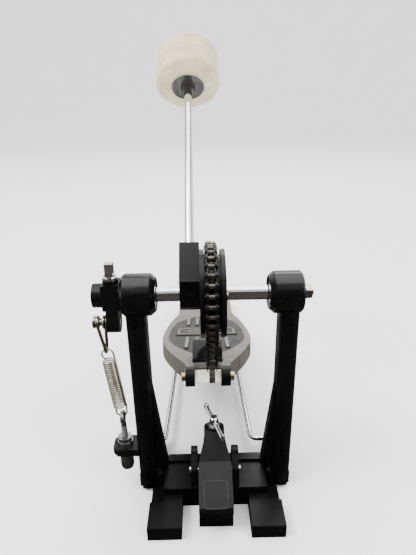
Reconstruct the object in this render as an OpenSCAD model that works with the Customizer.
// Bass drum pedal: single chain drive, felt beater, side-mounted return spring.
// X is across the pedal, +Y points to the heel, +Z is up, and the drum is on the -Y side.
// The origin is on the floor, midway between the posts and directly below the axle.

/* [Axle] */
// Height of the axle above the floor
axle_z = 162; // [158:1:168]
// Diameter of the axle
axle_d = 10; // [10:0.5:10.5]
// Outer diameter of a bearing housing
housing_d = 28; // [27:0.5:29]
// Inner end of a housing, measured from the middle
housing_in = 36.4; // [36:0.1:37]
// Outer end of a housing, measured from the middle
housing_out = 58.6; // [58:0.1:59]

/* [Beater] */
// Lean of the beater shaft behind the vertical at rest
lean = 44.6; // [40:0.2:46]
// Diameter of the beater shaft
shaft_d = 6; // [5.5:0.5:6.5]
// Distance along the shaft from the axle to the washer under the felt
felt_at = 167; // [150:1:175]
// Diameter of the felt
felt_d = 50; // [46:1:54]
// Length of the felt
felt_l = 30; // [26:1:36]
// Middle of the shaft and its hub, across the pedal
hub_x = -14.6; // [-14.8:0.1:-14.4]

/* [Chain drive] */
// Pitch of the chain
pitch = 6.35; // [6.35:0.01:6.36]
// Chain pitches in one full turn of the wheel
wheel_n = 30; // [30:1:30]
// Middle of the chain, across the pedal
chain_x = -0.85; // [-1:0.05:0]

/* [Footboard] */
// Middle of the footboard, across the pedal
board_x = -3.8; // [-4:0.1:-3.6]
// Distance of the heel hinge behind the axle
heel_y = 246; // [242:1:250]
// Height of the heel hinge above the floor
heel_z = 22; // [21:1:24]
// Greatest width of the footboard
board_w = 80; // [76:1:84]
// Thickness of the footboard plate
board_t = 3; // [2.5:0.25:3]

/* [Frame] */
// Outer face of a post, measured from the middle
post_out = 57.2; // [57:0.1:58]
// Width of a post
post_w = 13; // [12.5:0.5:13.5]
// Height of the base between the posts
base_h = 17; // [16:0.5:18]
// Diameter of the radius rods
rod_d = 4; // [3.5:0.5:4]

/* [Hidden] */
$fn = 64;
black = "#16171a";
chrome = "#d4d6d8";
nickel = "#b9b4a4";
cast_grey = "#8d8980";
dark_grey = "#3d3d3a";
cream = "#e3d9b0";
eps = 0.01;

// Chain geometry, as angles about the axle from the top of the wheel towards the drum
pitch_r = pitch / (2 * sin(180 / wheel_n));
step = 360 / wheel_n;
free_links = 5;
straight_links = 9;
straight_l = straight_links * pitch;
toe_drop = sqrt(straight_l * straight_l + pitch_r * pitch_r);
tangent_a = 180 - atan2(straight_l, pitch_r);
first_pin = -8;
toe_z = axle_z - toe_drop;
roller_r = 1.65;
link_pin_r = 1.15;
link_bore_r = 1.2;
plate_r = 2.9;
plate_waist = 2.1;
inner_plate = [1.9, 2.7];
outer_plate = [2.8, 3.6];
link_pin_l = 8.4;

// Footboard frame: its origin is the toe hinge, and local +Y runs along the board
board_slope = atan2(toe_z - heel_z, heel_y);
board_l = sqrt(pow(toe_z - heel_z, 2) + pow(heel_y, 2));
board_top = 7;
board_rim = 12;
neck_w = 32.4;
board_back_w = 44;
lug_in = 9.2;
lug_out = 15.9;
lug_r = 7;
toe_pin_r = 2.4;
tongue_w = 4;

// Beater line, offset from the axle so that the shaft can pass it
shaft_off = 9;
hub_w = 13;
hub_high = 30;
wheel_half = 8.1;
hub_front = -9;
flange_r = pitch_r - 1.5;

// Side spring
pin_y = -3;
pin_z = axle_z - 18;
link_x = [-76, -71.7];
link_bottom_x = -72.5;
link_bottom_z = axle_z - 38;
link_wire = 1.1;
eye_x = -66.5;
eye_y = -2;
eye_z = axle_z - 97;
spring_wire = 0.65;
spring_r = 4.35;
bracket_z = [35, 41];

// Hoop clamp
pivot = [-14, 25];
bolt_y = 1;
bolt_x = 42.5;
ear_in = 12.5;
ear_w = 5;
bar_z = 56.5;

// A flat shape drawn in the Y-Z plane and extruded along X from x0
module side(x0, w) {
    translate([x0, 0, 0]) rotate([90, 0, 90]) linear_extrude(w) children();
}

// A round bar along X
module bar_x(x0, x1, r, y = 0, z = 0) {
    side(x0, x1 - x0) translate([y, z]) circle(r);
}

// A round bar between two points
module rod(a, b, r) {
    d = b - a;
    translate(a) rotate([0, acos(d[2] / norm(d)), atan2(d[1], d[0])]) cylinder(h = norm(d), r = r);
}

module hex_nut(h, across) {
    cylinder(h = h, r = across / 2 / cos(30), $fn = 6);
}

module at_axle() {
    translate([0, 0, axle_z]) children();
}

// Beater frame: the local +Z axis runs up the shaft from the foot nearest the axle
module on_shaft(offset = shaft_off) {
    at_axle() rotate([-lean, 0, 0]) translate([hub_x, -offset, 0]) children();
}

module on_board() {
    translate([board_x, 0, toe_z]) rotate([-board_slope, 0, 0]) children();
}

// ---------------------------------------------------------------- frame

module foot(x0, x1) {
    translate([x0, -51.5, 0]) cube([x1 - x0, 32, 11]);
}

module base_ear(x0) {
    side(x0, ear_w) difference() {
        union() {
            polygon([[-23, base_h - 1], [-20, 30], [-12, 38], [-4, 38], [6, base_h - 1]]);
            translate([-8, 36]) circle(r = 4.5);
            translate(pivot) circle(r = 7);
        }
        translate(pivot) circle(r = 2.05);
    }
}

module base_frame() {
    color(black) difference() {
        union() {
            translate([-47.6, -24, 0]) cube([95.2, 32, base_h]);
            translate([-36, 1, base_h - eps]) cube([72, 7, 2]);
            for (s = [-1, 1]) {
                foot(s > 0 ? 24 : -47.6, s > 0 ? 47.6 : -24);
                base_ear(s > 0 ? ear_in : -ear_in - ear_w);
            }
            translate([-12, -42, 0]) cube([24, 20, 8.4]);
        }
        translate([-3.5, bolt_y - 5, base_h - 3.8]) cube([7, 9, 10]);
        translate([-12, -24 - eps, base_h - 4]) cube([24, 12, 6]);
        for (s = [-1, 1]) {
            post_pocket(s);
            translate([s * bolt_x, -3, -eps]) cylinder(h = 30, r = 2.1);
            translate([s * bolt_x, -3, -eps]) cylinder(h = 3 + 2 * eps, r = 4.2);
        }
    }
}

// The room that a post takes out of the base
module post_pocket(s) {
    translate([s > 0 ? 38 : -60, -30, 3]) cube([22, 60, 40]);
}

module post_section() {
    hull_w = post_w / 2;
    union() {
        translate([0, -4]) circle(r = hull_w);
        translate([-hull_w, -4]) square([post_w, 11]);
    }
}

// One post, drawn on the right-hand side
module post_right() {
    mid = post_out - post_w / 2;
    difference() {
        union() {
            translate([mid, 0, 3]) linear_extrude(axle_z - 13) post_section();
            side(38, post_out - 38) polygon([[-7.5, 3], [7, 3], [7, 14], [-7.5, 14]]);
            translate([47.8, -7.5, 0.4]) cube([post_out - 47.8 - 1.5, 14.5, 5]);
            translate([0, 5, 3]) rotate([90, 0, 0]) linear_extrude(8)
                polygon([[35.5, 0], [48, 0], [48, 96], [44.5, 92], [35.5, 14]]);
            side(post_out - 11, 11) difference() {
                polygon([[0, 3], [37, 3], [37, 20], [30, 24], [5, 72]]);
                polygon([[9, 22], [25, 22], [9, 52]]);
            }
        }
        at_axle() bar_x(30, 70, housing_d / 2);
        bar_x(44, 59, rod_d / 2 + 0.02, 31, 12);
        translate([mid, -20, axle_z - 19]) rotate([-90, 0, 0]) cylinder(h = 18, r = 2.5);
        translate([mid - 1, -20, 33]) rotate([-90, 0, 0]) cylinder(h = 18, r = 2.5);
        translate([bolt_x, -3, -eps]) cylinder(h = 18, r = 2.1);
        translate([30, -30, -1]) cube([8, 60, base_h + 1]);
    }
}

module right_post() {
    color(black) post_right();
}

module left_post() {
    color(black) union() {
        mirror([1, 0, 0]) post_right();
        difference() {
            union() {
                translate([-75, -10, bracket_z[0]]) cube([19, 16, bracket_z[1] - bracket_z[0]]);
            }
            translate([eye_x, eye_y, 0]) cylinder(h = 100, r = 2.1);
            for (y = [-10, 6]) translate([-75, y, 0]) rotate([0, 0, 45]) cube([5, 5, 200], center = true);
        }
    }
}

// Countersunk bolts that hold the posts from below
module post_bolts() {
    color(nickel) for (s = [-1, 1]) translate([s * bolt_x, -3, 0.4]) {
        cylinder(h = 2.5, r = 4);
        cylinder(h = 16, r = 2.05);
    }
}

module set_screw(l, r) {
    difference() {
        rotate([-90, 0, 0]) cylinder(h = l, r = r);
        translate([0, -eps, 0]) rotate([-90, 0, 0]) cylinder(h = 1.6, r = r * 0.55, $fn = 6);
    }
}

module post_set_screws() {
    mid = post_out - post_w / 2;
    color(black) for (s = [-1, 1]) {
        translate([s * mid, -10.2, axle_z - 19]) set_screw(8, 2.45);
        translate([s * (mid - 1), -10.2, 33]) set_screw(8, 2.45);
    }
}

// A bearing housing, drawn on the right-hand side
module housing_right() {
    l = housing_out - housing_in;
    at_axle() translate([housing_in, 0, 0]) rotate([0, 90, 0]) difference() {
        rotate_extrude() polygon([[0, 0], [housing_d / 2 - 3.2, 0], [housing_d / 2, 3.6],
            [housing_d / 2, l - 1.5], [housing_d / 2 - 1.5, l], [0, l]]);
        translate([0, 0, -eps]) cylinder(h = 7, r = 11);
        translate([0, 0, l - 7]) cylinder(h = 7 + eps, r = 11);
        translate([0, 0, -eps]) cylinder(h = 2 * l, r = axle_d / 2 + 2.5);
    }
}

module right_bearing_housing() {
    color(black) housing_right();
}

module left_bearing_housing() {
    color(black) mirror([1, 0, 0]) housing_right();
}

// Places a bearing at each end of both housings
module each_bearing() {
    for (s = [0, 1]) mirror([s, 0, 0]) for (x = [housing_in + 0.8, housing_out - 6.8])
        at_axle() translate([x, 0, 0]) rotate([0, 90, 0]) children();
}

module race(r_in, r_out, groove_at) {
    rotate_extrude() difference() {
        translate([r_in, 0]) square([r_out - r_in, 6]);
        translate([groove_at, 3]) circle(r = 1.62);
    }
}

module bearing_outer_races() {
    color(chrome) each_bearing() race(9, 11, 8);
}

module bearing_inner_races() {
    color(chrome) each_bearing() race(5, 7, 8);
}

module bearing_balls() {
    color(chrome) each_bearing() for (k = [0 : 8])
        rotate([0, 0, k * 40]) translate([8, 0, 3]) sphere(r = 1.58, $fn = 32);
}

// Straight part of a radius rod, from its bend to the heel plate: distance from the middle, and tilt
rod_bend = 6;
rod_runs = [[40.5, 2.2], [31.5, 2.2]];
function rod_start(run) = [run[0], 31 + rod_bend, 12];
function rod_end(run) = rod_start(run) + (heel_y - 15) * [-sin(run[1]), cos(run[1]), 0];

// A radius rod: out of the post, round a bend and back to the heel plate
module radius_rod(run) {
    union() {
        bar_x(run[0] + rod_bend, 56, rod_d / 2, 31, 12);
        translate([run[0] + rod_bend, 31 + rod_bend, 12]) rotate([0, 0, 180])
            rotate_extrude(angle = 90) translate([rod_bend, 0]) circle(r = rod_d / 2);
        translate(rod_start(run)) sphere(r = rod_d / 2 + 0.15);
        rod(rod_start(run), rod_end(run), rod_d / 2);
    }
}

module left_radius_rod() {
    color(chrome) mirror([1, 0, 0]) radius_rod(rod_runs[0]);
}

module right_radius_rod() {
    color(chrome) radius_rod(rod_runs[1]);
}

module heel_outline(inset = 0) {
    w = 36 - inset;
    hull() {
        for (s = [-1, 1]) {
            translate([s * (w - 8), heel_y + 10 + inset]) circle(r = 6, $fn = 32);
            translate([s * (w - 16), heel_y + 62 - 14 - inset]) circle(r = 14, $fn = 48);
        }
    }
}

module heel_plate() {
    color(cast_grey) translate([board_x, 0, 0]) difference() {
        union() {
            translate([0, 0, 2]) linear_extrude(16) heel_outline();
            side(-7.4, 14.8) union() {
                translate([heel_y, heel_z]) circle(r = 6);
                polygon([[heel_y - 4, heel_z - 5.5], [heel_y + 8, 6], [heel_y + 14, 6],
                    [heel_y + 14, 18], [heel_y + 4, heel_z + 4.2]]);
            }
        }
        translate([0, 0, 1]) linear_extrude(14) difference() {
            heel_outline(4);
            for (x = [-rod_end(rod_runs[0])[0], rod_end(rod_runs[1])[0]])
                translate([x - board_x - 5, heel_y]) square([10, 30]);
        }
        bar_x(-30, 30, 2.55, heel_y, heel_z);
        translate([-board_x, 0, 0]) for (s = [0, 1]) mirror([1 - s, 0, 0])
            rod(rod_start(rod_runs[s]), rod_end(rod_runs[s]), rod_d / 2 + 0.02);
    }
}

module heel_plate_pad() {
    color(dark_grey) translate([board_x, 0, 0]) linear_extrude(2) heel_outline(1);
}

module heel_hinge_pin() {
    color(chrome) translate([board_x, 0, 0]) bar_x(-20, 20, 2.5, heel_y, heel_z);
}

module spring_eye_bolt() {
    color("#77777a") union() {
        translate([eye_x, eye_y, eye_z]) rotate([0, 90, 0]) rotate_extrude() translate([3.6, 0]) circle(r = 1.6);
        translate([eye_x, eye_y, 24]) cylinder(h = eye_z - 24 - 3.4, r = 2);
    }
}

module spring_collar_nut() {
    color("#8a8a88") translate([eye_x, eye_y, bracket_z[1]]) difference() {
        union() {
            cylinder(h = 3, r = 5.6);
            cylinder(h = 6.5, r = 5);
        }
        cylinder(h = 20, r = 2.0, center = true);
    }
}

module spring_tension_nut() {
    color("#8a8a88") translate([eye_x, eye_y, bracket_z[0] - 17]) difference() {
        union() {
            translate([0, 0, 3]) cylinder(h = 14, r = 5);
            rotate_extrude() polygon([[0, 0], [3.2, 0], [4.5, 1], [5, 3], [0, 3]]);
        }
        translate([0, 0, 6]) cylinder(h = 20, r = 2.0);
    }
}

// ---------------------------------------------------------------- axle assembly

module axle() {
    color(chrome) at_axle() union() {
        bar_x(-78, 60, axle_d / 2);
        translate([-78, 0, 0]) rotate([0, -90, 0]) rotate_extrude()
            polygon([[0, 0], [4, 0], [3.4, 0.7], [2, 1.2], [0, 1.4]]);
        bar_x(60, 61, 4.8);
        bar_x(60, 66, 2.6);
    }
}

module axle_end_nut() {
    color(chrome) at_axle() translate([61, 0, 0]) rotate([0, 90, 0]) difference() {
        hex_nut(3.8, 9);
        translate([0, 0, -1]) cylinder(h = 9, r = 2.6);
    }
}

// Round the axle, up its front face, and along the shaft
function hub_point(y, z) = [y * cos(lean) + z * sin(lean), z * cos(lean) - y * sin(lean)];

module hub_body() {
    side(hub_x - hub_w / 2, hub_w) polygon(concat(
        [[hub_front, -5.5], [hub_front, 12.3], hub_point(-15, 3.6), hub_point(-15, hub_high),
            hub_point(5, hub_high)],
        [for (a = [10 : -8 : -94]) [8.8 * cos(a), 8.8 * sin(a)]],
        [[-5.5, -9]]));
}

module beater_hub() {
    color(black) difference() {
        at_axle() hub_body();
        at_axle() bar_x(-40, 10, axle_d / 2);
        on_shaft() translate([0, 0, 3]) cylinder(h = 120, r = shaft_d / 2 + 0.02);
        at_axle() translate([hub_x, -20, 4]) rotate([-90, 0, 0]) cylinder(h = 15.5, r = 1.9);
        on_shaft() translate([-20, 0, 18]) rotate([0, 90, 0]) cylinder(h = 17.5, r = 1.9);
    }
}

module hub_set_screws() {
    color(nickel) {
        at_axle() translate([hub_x, -8.8, 4]) set_screw(4.2, 1.85);
        on_shaft() translate([-6.3, 0, 18]) rotate([0, 0, -90]) set_screw(3.2, 1.85);
    }
}

function wheel_pin_angle(k) = tangent_a - (free_links - k) * step;

module drive_wheel() {
    gap = 5.2;
    floor_r = pitch_r - 5;
    color(black) at_axle() difference() {
        union() {
            bar_x(-wheel_half, wheel_half, floor_r);
            for (x = [-wheel_half, gap]) side(x, wheel_half - gap) circle(r = flange_r, $fn = 96);
            side(chain_x - 1.2, 2.4) union() {
                circle(r = pitch_r - roller_r - 1.1);
                wheel_teeth();
            }
        }
        bar_x(-20, 20, axle_d / 2);
        for (a = [20 : 60 : 320]) rotate([a, 0, 0]) translate([0, 0, 15.5]) bar_x(-20, 20, 4.6);
        at_anchor() translate([0, 0, -9]) cylinder(h = 14, r = 1.35);
    }
}

// Middle of the link that holds the chain on the wheel, with +Z pointing outwards
module at_anchor() {
    rotate([wheel_pin_angle(first_pin) + step / 2, 0, 0])
        translate([chain_x, 0, pitch_r * cos(step / 2)]) children();
}

// Teeth everywhere except on the stretch that the chain leaves and where its end is held
module wheel_teeth() {
    difference() {
        circle(r = pitch_r - 0.3, $fn = 96);
        for (k = [0 : wheel_n - 1]) rotate(wheel_pin_angle(k)) translate([0, pitch_r]) circle(r = 1.9, $fn = 32);
        bare(wheel_pin_angle(0) + 4, tangent_a + 24);
        bare(wheel_pin_angle(first_pin) - 6, wheel_pin_angle(first_pin) + step - 1);
    }
}

module bare(a0, a1) {
    polygon([for (a = [a0, a0, (a0 + a1) / 2, a1, a1]) 45 * [-sin(a), cos(a)], [0, 0]]);
}

module wheel_screws() {
    color(nickel) at_axle() for (a = [-40, 80, 200]) rotate([a, 0, 0]) translate([0, 0, 9]) difference() {
        bar_x(wheel_half, wheel_half + 1.6, 2.6);
        bar_x(wheel_half + 0.8, wheel_half + 3, 1.3, $fn = 6);
    }
}

// A link plate in the Y-Z plane, from its first pin at the origin along -Z
module link_plate(bore) {
    difference() {
        union() {
            circle(r = plate_r, $fn = 32);
            translate([0, -pitch]) circle(r = plate_r, $fn = 32);
            translate([-plate_waist, -pitch]) square([2 * plate_waist, pitch]);
        }
        for (y = [0, -pitch]) translate([0, y]) circle(r = bore, $fn = 32);
    }
}

module inner_link() {
    for (s = [-1, 1]) side(s > 0 ? inner_plate[0] : -inner_plate[1], inner_plate[1] - inner_plate[0])
        link_plate(link_bore_r);
    for (z = [0, -pitch]) side(-inner_plate[0], 2 * inner_plate[0]) translate([0, z]) difference() {
        circle(r = roller_r, $fn = 32);
        circle(r = link_bore_r, $fn = 32);
    }
}

// An outer link; the last one on the chain has an open end in place of its second pin
module outer_link(open_end = false) {
    for (s = [-1, 1]) side(s > 0 ? outer_plate[0] : -outer_plate[1], outer_plate[1] - outer_plate[0])
        link_plate(link_pin_r);
    bar_x(-link_pin_l / 2, link_pin_l / 2, link_pin_r, $fn = 32);
    if (open_end) {
        for (s = [-1, 1]) bar_x(s > 0 ? outer_plate[0] : -link_pin_l / 2, s > 0 ? link_pin_l / 2 : -outer_plate[0],
            link_pin_r, 0, -pitch, $fn = 32);
    } else {
        bar_x(-link_pin_l / 2, link_pin_l / 2, link_pin_r, 0, -pitch, $fn = 32);
    }
}

// Pins are numbered from the last one that stays on the wheel, which is pin 0
function pin_at(k) = k <= free_links
    ? pitch_r * [-sin(wheel_pin_angle(k)), cos(wheel_pin_angle(k))]
    : pitch_r * [-sin(tangent_a), cos(tangent_a)]
        - (k - free_links) * pitch * [cos(tangent_a), sin(tangent_a)];

// Places a link between pins k - 1 and k
module place_link(k) {
    a = pin_at(k - 1);
    d = pin_at(k) - a;
    at_axle() translate([chain_x, a[0], a[1]]) rotate([atan2(d[0], -d[1]), 0, 0]) children();
}

module wheel_chain_inner_links() {
    color("#4a4038") for (k = [first_pin + 1 : 2 : 0]) place_link(k) inner_link();
}

module wheel_chain_outer_links() {
    color(dark_grey) for (k = [first_pin + 2 : 2 : 0]) place_link(k) outer_link();
}

module chain_anchor_screw() {
    color(nickel) at_axle() at_anchor() union() {
        translate([0, 0, -8.5]) cylinder(h = 12, r = 1.3);
        translate([0, 0, plate_r + 0.05]) cylinder(h = 1.4, r = 2.8);
    }
}

module chain_link_1() {
    color("#4a4038") place_link(1) inner_link();
}

module chain_link_2() {
    color(dark_grey) place_link(2) outer_link();
}

module chain_link_3() {
    color("#4a4038") place_link(3) inner_link();
}

module chain_link_4() {
    color(dark_grey) place_link(4) outer_link();
}

module chain_link_5() {
    color("#4a4038") place_link(5) inner_link();
}

module hanging_chain_inner_links() {
    color("#4a4038") for (k = [7 : 2 : 11]) place_link(k) inner_link();
}

module hanging_chain_outer_links() {
    color(dark_grey) for (k = [6 : 2 : 12]) place_link(k) outer_link(open_end = k == 12);
}

module rocker() {
    color(black) at_axle() difference() {
        union() {
            bar_x(-77.6, -71, 8);
            side(-71, 11.4) polygon([[-8, -8], [-8, 9.5], [7, 9.5], [7, -8]]);
            translate([-65.3, -2, 9.4]) cylinder(h = 3, r = 5);
            side(-69.2, 8.2) union() {
                translate([pin_y, -18]) circle(r = 7);
                polygon([[-8, -8.5], [-8, 0], [7, 0], [7, -8.5], [pin_y + 7, -18], [pin_y - 7, -18]]);
            }
        }
        bar_x(-90, -50, axle_d / 2);
        bar_x(-80, -50, 2.4, pin_y, -18);
        translate([-65.3, -2, 3]) cylinder(h = 12, r = 2.4);
    }
}

module rocker_bolt() {
    color(chrome) at_axle() translate([-65.3, -2, 0]) union() {
        translate([0, 0, 5.2]) cylinder(h = 9, r = 2.35);
        translate([0, 0, 14]) cylinder(h = 1.6, r = 3.6);
        translate([-2.6, -2.6, 15.6]) cube([5.2, 5.2, 7.4]);
    }
}

module rocker_bolt_washer() {
    color(chrome) at_axle() translate([-65.3, -2, 12.4]) difference() {
        cylinder(h = 1.6, r = 4.7);
        translate([0, 0, -1]) cylinder(h = 4, r = 2.4);
    }
}

module rocker_pin() {
    color(nickel) translate([0, pin_y, pin_z]) union() {
        bar_x(-78, -61, 2.4);
        bar_x(-79, -77.6, 4);
        bar_x(-70.4, -69.2, 4);
    }
}

// ---------------------------------------------------------------- beater

module beater_shaft() {
    low = 5;
    color(chrome) on_shaft() translate([0, 0, low]) cylinder(h = felt_at + felt_l + 7 - low, r = shaft_d / 2);
}

// A disc with a hole, between two heights along the shaft
module shaft_disc(z0, z1, r) {
    on_shaft() translate([0, 0, z0]) difference() {
        cylinder(h = z1 - z0, r = r);
        translate([0, 0, -1]) cylinder(h = z1 - z0 + 2, r = shaft_d / 2);
    }
}

module beater_lower_washer() {
    color(chrome) shaft_disc(felt_at - 1.5, felt_at, 12.5);
}

module beater_lower_nut() {
    color(chrome) on_shaft() translate([0, 0, felt_at - 5.5]) difference() {
        hex_nut(4, 9.5);
        translate([0, 0, -1]) cylinder(h = 9, r = shaft_d / 2);
    }
}

module beater_felt() {
    color(cream) on_shaft() translate([0, 0, felt_at]) rotate_extrude($fn = 96) difference() {
        union() {
            translate([0, 3]) square([felt_d / 2, felt_l - 6]);
            square([felt_d / 2 - 3, felt_l]);
            for (y = [3, felt_l - 3]) translate([felt_d / 2 - 3, y]) circle(r = 3, $fn = 48);
        }
        translate([-50, -1]) square([50 + shaft_d / 2, felt_l + 2]);
    }
}

module beater_upper_washer() {
    color(chrome) shaft_disc(felt_at + felt_l, felt_at + felt_l + 1.2, 8);
}

module beater_upper_nut() {
    color(chrome) on_shaft() translate([0, 0, felt_at + felt_l + 1.2]) difference() {
        hex_nut(4, 9.5);
        translate([0, 0, -1]) cylinder(h = 9, r = shaft_d / 2);
    }
}

// ---------------------------------------------------------------- footboard

// Half the board's width at a distance along it from the toe hinge
function board_half(y, full = board_w) =
    let (neck = neck_w / 2, back = board_back_w / 2, wide_y = 100)
    y < 8 ? neck
    : y < wide_y ? neck + (full / 2 - neck) * pow(sin((y - 8) / (wide_y - 8) * 90), 0.95)
    : back + (full / 2 - back) * pow(max(0, cos((y - wide_y) / (board_l - wide_y) * 90)), 0.9);

module board_outline(y0, y1, inset = 0) {
    n = 44;
    ys = [for (i = [0 : n]) y0 + (y1 - y0) * i / n];
    polygon(concat(
        [for (y = ys) [board_half(y) - inset, y]],
        [for (i = [n : -1 : 0]) [-(board_half(ys[i]) - inset), ys[i]]]));
}

// The grip's outline: rounded at both ends and a rim's width inside the board
function grip_half(y) = let (t = (y - 112) / 83) max(0, (board_half(y) - 5.2) * pow(1 - pow(abs(t), 3.2), 0.5));

module grip_outline(grow = 0) {
    n = 48;
    ys = [for (i = [0 : n]) 112 - 83 * cos(180 * i / n)];
    polygon(concat(
        [for (i = [1 : n - 1]) [grip_half(ys[i]) + grow, ys[i]]], [[0, ys[n] + grow]],
        [for (i = [n - 1 : -1 : 1]) [-grip_half(ys[i]) - grow, ys[i]]], [[0, ys[0] - grow]]));
}

module footboard() {
    end = board_l - 9;
    color(cast_grey) on_board() difference() {
        union() {
            difference() {
                translate([0, 0, board_top - board_rim]) linear_extrude(board_rim) board_outline(1.5, end);
                translate([0, 0, board_top - board_rim - 1]) linear_extrude(board_rim + 1 - board_t)
                    board_outline(0, end - 3, 3);
                translate([-30, -2, -9]) cube([60, 11, 9 + board_top - board_t]);
                translate([0, 0, board_top - 1]) linear_extrude(3) grip_outline();
            }
            for (y = [60 : 40 : 220]) translate([-1 - board_half(y) + 4, y, -2])
                cube([2 * board_half(y) - 6, 2, 2 + board_top - board_t]);
            for (s = [-1, 1]) side(s > 0 ? 7.6 : -17.6, 10) union() {
                translate([board_l, 0]) circle(r = 5.6);
                polygon([[end - 2, -4], [board_l, -5.6], [board_l, 5.6], [end - 2, board_top]]);
            }
            translate([0, 24, 0]) cylinder(h = board_top - 1, r = 5);
        }
        bar_x(-30, 30, 2.55, board_l, 0);
        for (x = [-10, 10]) translate([x, 16, 0]) cylinder(h = 20, r = 1.6);
        translate([0, 24, -1]) cylinder(h = 20, r = 1.6);
        translate([-17, -1, -8]) cube([34, 25, 8 + board_top - board_t]);
        translate([-9.3, -1, 0]) cube([18.6, 6.5, 20]);
    }
}

module grip_bar(x, y0, y1) {
    w = 3.6;
    linear_extrude(1.3) translate([x, 0]) polygon([[-w / 2, y0 + 3], [0, y0], [w / 2, y0 + 3],
        [w / 2, y1 - 3], [0, y1], [-w / 2, y1 - 3]]);
}

module footboard_grip() {
    color(dark_grey) on_board() translate([0, 0, board_top - 1]) union() {
        linear_extrude(1) grip_outline(-0.15);
        for (x = [-18, -9, 9, 18]) {
            translate([0, 0, 1 - eps]) grip_bar(x * 0.95, 48, 88);
            translate([0, 0, 1 - eps]) grip_bar(x, 139, 180);
        }
        translate([-28, 97, 1 - eps]) cube([56, 28, 1.3]);
    }
}

module toe_stop() {
    color(black) on_board() translate([0, 11, board_top]) difference() {
        side(-11, 22) polygon([[0, 0], [20, 0], [20, 5], [15, 14], [11, 14], [0, 3]]);
        translate([3, -3, 2]) cylinder(h = 30, r = 11.5);
        translate([0, 13, -1]) cylinder(h = 20, r = 1.6);
    }
}

module toe_clevis() {
    color(black) on_board() difference() {
        union() {
            translate([-lug_out, 6, 0.6]) cube([2 * lug_out, 16.5, 3.4]);
            for (s = [-1, 1]) side(s > 0 ? lug_in : -lug_out, lug_out - lug_in) union() {
                circle(r = lug_r);
                polygon([[-lug_r, 0], [-5, 3.9], [8, 4], [12, 0.6], [lug_r, -2]]);
            }
        }
        translate([-20, 1.3, 4]) cube([40, 20, 10]);
        bar_x(-30, 30, toe_pin_r);
        for (x = [-10, 10]) translate([x, 16, -6]) cylinder(h = 20, r = 1.6);
    }
}

module toe_screws() {
    color(nickel) on_board() {
        for (x = [-10, 10]) translate([x, 16, -1.2]) {
            cylinder(h = 1.8, r = 3);
            cylinder(h = 7, r = 1.55);
        }
        translate([0, 24, 0]) {
            translate([0, 0, -1.9]) cylinder(h = 1.9, r = 3);
            cylinder(h = 13, r = 1.55);
        }
    }
}

module toe_hinge_pin() {
    color("#b9a06a") on_board() union() {
        bar_x(-18.6, 18.6, toe_pin_r);
        for (s = [-1, 1]) bar_x(s > 0 ? lug_out : -18.6, s > 0 ? 18.6 : -lug_out, 3);
    }
}

module toe_spacers() {
    low = chain_x - board_x - tongue_w / 2;
    high = low + tongue_w;
    w = (low + lug_in) / 2 - 0.1;
    color(cream) on_board() for (r = [[-lug_in + 0.05, w], [low - 0.05 - w, w], [high + 0.05, lug_in - high - 0.1]])
        side(r[0], r[1]) difference() {
            circle(r = 4.6);
            circle(r = toe_pin_r);
        }
}

// Steel tongue between the last chain link and the toe hinge pin
module toe_link() {
    a = pin_at(free_links + straight_links - 2);
    b = pin_at(free_links + straight_links);
    d = b - a;
    color("#6c6c6a") at_axle() side(chain_x - tongue_w / 2, tongue_w) difference() {
        union() {
            translate(a) circle(r = plate_waist + 0.4);
            translate(b) circle(r = 5);
            translate(a) rotate(atan2(d[0], -d[1])) translate([-plate_waist, -2 * pitch])
                square([2 * plate_waist, 2 * pitch]);
        }
        translate(a) circle(r = 1.3);
        translate(b) circle(r = toe_pin_r + 0.05);
    }
}

// ---------------------------------------------------------------- hoop clamp

// Half the lever's width: wide over the jaw, with a smooth flare down to the screw
function lever_half(y) = y < -24 ? 11.9 : y > -4 ? 7.5 : 9.7 + 2.2 * cos((y + 24) / 20 * 180);

module lever_plan() {
    ys = [for (y = [-46 : 2 : 1]) y];
    polygon(concat([[-10, -48]], [for (y = ys) [-lever_half(y), y]],
        [for (a = [180 : -15 : 0]) [7.5 * cos(a), bolt_y + 7.5 * sin(a)]],
        [for (i = [len(ys) - 1 : -1 : 0]) [lever_half(ys[i]), ys[i]]], [[10, -48]]));
}

module clamp_lever() {
    color(black) difference() {
        union() {
            intersection() {
                translate([0, 0, 1]) linear_extrude(80) lever_plan();
                side(-13, 26) polygon([[-48, 16.5], [-48, 20.5], [-46.5, 22.5], [-31, 31.6], [-20, 38], [-12, 44.5],
                    [-6, 49.3], [-2, 51.2], [2, 51.8], [6, 51], [9, 48.5], [9, 44], [2, 42], [-8, 31], [-12, 20],
                    [-14, 18.6], [-30, 19.5], [-46.5, 15.5]]);
            }
            translate([0, -39.5, 27.4]) rotate([30.4, 0, 0]) translate([0, 0, -2]) linear_extrude(2.9)
                lever_pad(8.5, 9);
        }
        bar_x(-30, 30, 2.05, pivot[0], pivot[1]);
        translate([0, bolt_y, 30]) cylinder(h = 40, r = 2.56);
    }
}

module lever_pad(x, y) {
    r = 2.5;
    square([2 * x, 2 * (y - r)], center = true);
    square([2 * (x - r), 2 * y], center = true);
    for (a = [-1, 1], b = [-1, 1]) translate([a * (x - r), b * (y - r)]) circle(r = r);
}

module clamp_swivel_nut() {
    color(chrome) translate([0, bolt_y, 51.9]) difference() {
        cylinder(h = 1.8, r = 4.8);
        translate([0, 0, -1]) cylinder(h = 9, r = 2.55);
    }
}

module clamp_pivot_pin() {
    color(chrome) union() {
        bar_x(-18.8, 18.8, 2, pivot[0], pivot[1]);
        for (s = [-1, 1]) bar_x(s > 0 ? 17.5 : -18.8, s > 0 ? 18.8 : -17.5, 2.6, pivot[0], pivot[1]);
    }
}

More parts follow.
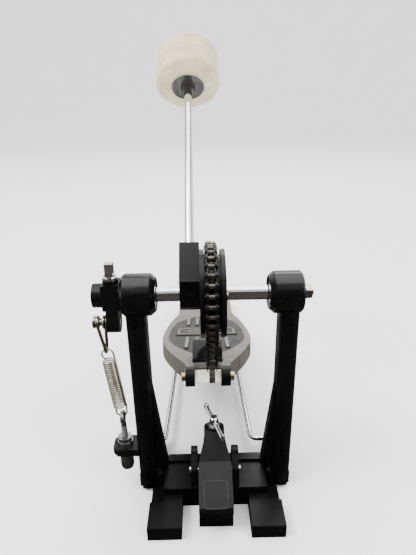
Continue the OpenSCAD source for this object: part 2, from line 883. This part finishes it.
module clamp_bolt() {
    color(chrome) translate([0, bolt_y, 0]) difference() {
        union() {
            translate([0, 0, base_h - 2.9]) cylinder(h = 56 - base_h, r = 2.5);
            translate([0, 0, 54]) cylinder(h = 6, r = 3.4);
            translate([0, 0, 60 - eps]) rotate_extrude() polygon([[0, 0], [3.4, 0], [2.4, 0.9], [0, 1.2]]);
        }
        translate([0, 0, bar_z]) rotate([0, 0, 17]) rotate([90, 0, 0])
            cylinder(h = 40, r = 1.65, center = true);
    }
}

module clamp_t_bar() {
    color(chrome) translate([0, bolt_y, bar_z]) rotate([0, 0, 17]) rotate([90, 0, 0]) union() {
        cylinder(h = 38, r = 1.6, center = true);
        for (s = [-1, 1]) translate([0, 0, s * 18.4]) cylinder(h = 1.6, r = 2.1, center = true);
    }
}

// ---------------------------------------------------------------- return spring

// Wire hook: an eye at each end of the wire rides on the rocker pin
module spring_link() {
    half = 2.6;
    bight = [for (a = [0 : 20 : 180])
        [link_bottom_x, pin_y - half * cos(a), link_bottom_z - half * sin(a)]];
    legs = concat([[link_x[0], pin_y - 3.6, pin_z]], bight, [[link_x[1], pin_y + 3.6, pin_z]]);
    color(nickel) union() {
        for (x = link_x) side(x - link_wire, 2 * link_wire) translate([pin_y, pin_z]) difference() {
            circle(r = 4.8);
            circle(r = 2.45);
        }
        wire(legs, link_wire, 8);
    }
}

// The spring runs from the wire inside the lower eye to the wire resting in the hook
spring_low = [eye_x, eye_y, eye_z + 2 - spring_wire];
spring_high = [link_bottom_x, pin_y, link_bottom_z - 2.6 + link_wire + spring_wire];
coil_turns = 22;
coil_h = 40;
loop_r = 3.9;

function unit(v) = v / norm(v);

spring_w = unit(spring_high - spring_low);
spring_u = unit(cross([0, 1, 0], spring_w));
spring_v = cross(spring_w, spring_u);
spring_l = norm(spring_high - spring_low);
coil_low = (spring_l - coil_h) / 2;

function spring_point(p) = spring_low + p[0] * spring_u + p[1] * spring_v + p[2] * spring_w;

// Path of the spring wire: a loop, the coil, and the same loop turned over at the other end
end_loop = concat(
    [for (a = [120 : 20 : 360]) loop_r * [cos(a), 0, 1 + sin(a)]],
    [[spring_r - 0.3, 0, coil_low - 2], [spring_r - 0.05, 0.3, coil_low - 1], [spring_r, 1, coil_low - 0.35]]);
coil_path = [for (i = [1 : coil_turns * 14 - 1])
    let (a = 90 + i * 360 / 14) [spring_r * sin(a), -spring_r * cos(a), coil_low + coil_h * i / (coil_turns * 14)]];
far_loop = [for (i = [len(end_loop) - 1 : -1 : 0])
    [end_loop[i][0], -end_loop[i][1], spring_l - end_loop[i][2]]];
wire_path = [for (p = concat(coil_path, far_loop)) spring_point(p)];
low_path = [for (p = end_loop) spring_point(p)];

function tangents(p) = [for (i = [0 : len(p) - 1]) unit(p[min(i + 1, len(p) - 1)] - p[max(i - 1, 0)])];

function normals(t) = [for (i = 0, n = unit(cross(t[0], [0.3, 1, 0.2])); i < len(t);
    i = i + 1, n = i < len(t) ? unit(n - (n * t[i]) * t[i]) : n) n];

// A round wire along a path of points
module wire(path, r, sides = 6) {
    t = tangents(path);
    n = normals(t);
    last = len(path) - 1;
    points = [for (i = [0 : last], k = [0 : sides - 1])
        path[i] + r * (cos(360 * k / sides) * n[i] + sin(360 * k / sides) * cross(t[i], n[i]))];
    walls = [for (i = [0 : last - 1], k = [0 : sides - 1])
        let (a = i * sides + k, b = i * sides + (k + 1) % sides) each [[a, a + sides, b], [b, a + sides, b + sides]]];
    ends = [[for (k = [0 : sides - 1]) k], [for (k = [sides - 1 : -1 : 0]) last * sides + k]];
    polyhedron(points, concat(walls, ends), convexity = 20);
}

module spring_lower_loop() {
    color(nickel) wire(low_path, spring_wire);
}

module spring_coil() {
    color(nickel) wire(wire_path, spring_wire);
}

base_frame();
left_post();
right_post();
post_bolts();
post_set_screws();
left_bearing_housing();
right_bearing_housing();
bearing_outer_races();
bearing_balls();
left_radius_rod();
right_radius_rod();
heel_plate();
heel_plate_pad();
heel_hinge_pin();
spring_eye_bolt();
spring_collar_nut();
spring_tension_nut();
axle();
bearing_inner_races();
axle_end_nut();
beater_hub();
hub_set_screws();
drive_wheel();
wheel_screws();
wheel_chain_inner_links();
wheel_chain_outer_links();
chain_anchor_screw();
rocker();
rocker_bolt();
rocker_bolt_washer();
rocker_pin();
beater_shaft();
beater_lower_washer();
beater_lower_nut();
beater_felt();
beater_upper_washer();
beater_upper_nut();
chain_link_1();
chain_link_2();
chain_link_3();
chain_link_4();
chain_link_5();
hanging_chain_inner_links();
hanging_chain_outer_links();
footboard();
footboard_grip();
toe_stop();
toe_clevis();
toe_screws();
toe_hinge_pin();
toe_spacers();
toe_link();
clamp_lever();
clamp_swivel_nut();
clamp_pivot_pin();
clamp_bolt();
clamp_t_bar();
spring_link();
spring_lower_loop();
spring_coil();
